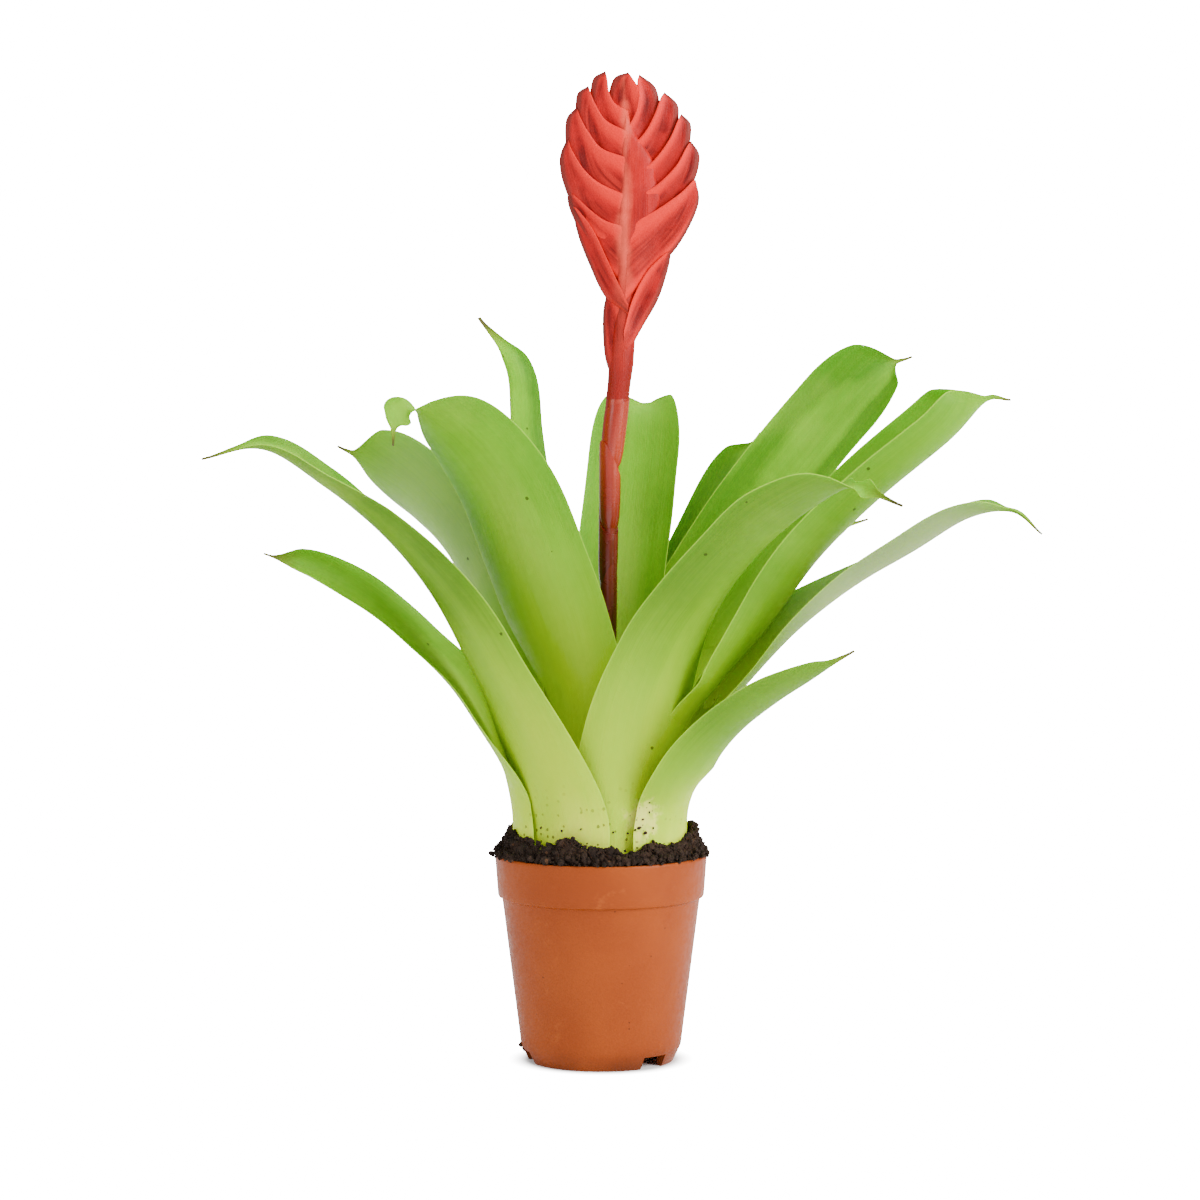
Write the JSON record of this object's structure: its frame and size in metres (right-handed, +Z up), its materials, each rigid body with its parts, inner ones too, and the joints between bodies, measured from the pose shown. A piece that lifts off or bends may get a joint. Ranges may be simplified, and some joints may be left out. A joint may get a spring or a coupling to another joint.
{
  "type": "potted vriesea",
  "caption": "Rosette of strap leaves round a flat red flower spike on a stem, in a small tapered nursery pot of dark soil.",
  "frame": {"origin": "on the ground, under the middle of the whole plant's spread", "axes": "+Z up the plant; -Y towards the viewer of the picture; +X to that viewer's right"},
  "size_m": [0.3475, 0.2266, 0.4223],
  "materials": {
    "pot": "satin terracotta-coloured plastic",
    "soil": "matt dark peat",
    "flower_stem": "smooth maroon stalk",
    "flower_spike": "waxy coral red",
    "leaf": "smooth satin green leaf"
  },
  "bodies": {
    "root": {"pot": "pot", "soil": "soil", "flower_stem": "flower_stem", "flower_spike": "flower_spike", "leaf_left_low": "leaf", "leaf_right_low": "leaf", "leaf_left_front": "leaf", "leaf_right_long": "leaf", "leaf_right_front": "leaf", "leaf_right_hidden": "leaf", "leaf_left_back": "leaf", "leaf_right_far": "leaf", "leaf_back_low_middle": "leaf", "leaf_back_low_left": "leaf", "leaf_back_low_right": "leaf", "leaf_back_right_large": "leaf", "leaf_back_right_small": "leaf", "leaf_back_middle": "leaf", "leaf_left_inner": "leaf", "leaf_left_tall": "leaf"}
  },
  "joints": []
}
